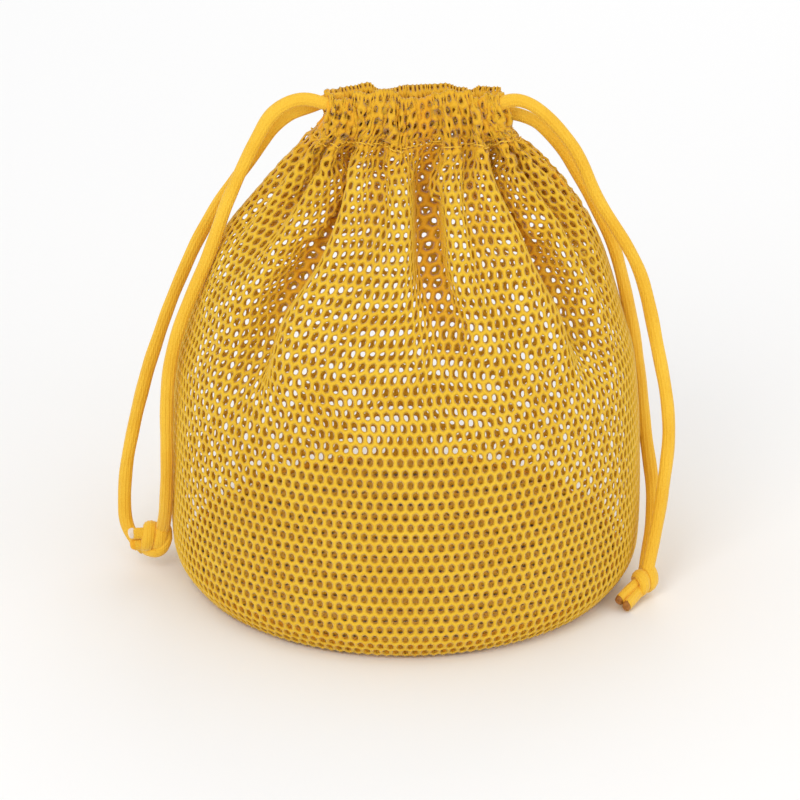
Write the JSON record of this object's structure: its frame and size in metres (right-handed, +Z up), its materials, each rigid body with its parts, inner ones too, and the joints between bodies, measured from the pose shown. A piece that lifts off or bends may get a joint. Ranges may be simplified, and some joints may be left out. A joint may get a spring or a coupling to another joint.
{
  "type": "mesh drawstring laundry bag",
  "caption": "Round-bottomed mesh bag that stands up, with a sewn drawstring casing gathered shut by two knotted cords, for holding laundry in the wash.",
  "frame": {"origin": "centre of the round bottom, on the surface that the bag stands on", "axes": "+Z up through the mouth; the front faces -Y; the two cords leave the mouth along -X and +X"},
  "size_m": [0.2252, 0.1906, 0.206],
  "materials": {
    "mesh": "knitted polyester honeycomb mesh, soft satin",
    "seam_cloth": "doubled mesh cloth, sewn",
    "thread": "polyester sewing thread",
    "cord": "flat tubular braid, soft sheen",
    "cord_tip": "melted polyester"
  },
  "bodies": {
    "bag": {"front_mesh_panel": "mesh", "rear_mesh_panel": "mesh", "left_side_seam": "seam_cloth", "right_side_seam": "seam_cloth", "bottom_panel": "mesh", "bottom_seam": "seam_cloth", "front_casing": "mesh", "rear_casing": "mesh", "front_casing_stitching": "thread", "rear_casing_stitching": "thread", "left_cord_opening": "seam_cloth", "right_cord_opening": "seam_cloth", "left_cord_far_turn": "cord", "right_cord_far_turn": "cord"},
    "left_cord": {"left_cord_channel_runs": "cord"},
    "left_loop": {"left_cord_front_strand": "cord", "left_cord_rear_strand": "cord", "left_knot": "cord", "left_cord_tails": "cord", "left_tail_tips": "cord_tip"},
    "right_cord": {"right_cord_channel_runs": "cord"},
    "right_loop": {"right_cord_front_strand": "cord", "right_cord_rear_strand": "cord", "right_knot": "cord", "right_cord_tails": "cord", "right_tail_tips": "cord_tip"}
  },
  "joints": [
    {"name": "left_cord_draw", "type": "slide", "parent": "bag", "child": "left_cord", "axis": [-1, 0, 0], "range_m": [0, 0.025]},
    {"name": "left_loop_swing", "type": "hinge", "parent": "left_cord", "child": "left_loop", "pos_m": [-0.0365, 0, 0.2012], "axis": [0, 1, 0], "range_deg": [0, 90]},
    {"name": "right_cord_draw", "type": "slide", "parent": "bag", "child": "right_cord", "axis": [1, 0, 0], "range_m": [0, 0.025]},
    {"name": "right_loop_swing", "type": "hinge", "parent": "right_cord", "child": "right_loop", "pos_m": [0.0415, 0, 0.1964], "axis": [0, -1, 0], "range_deg": [0, 90]}
  ]
}
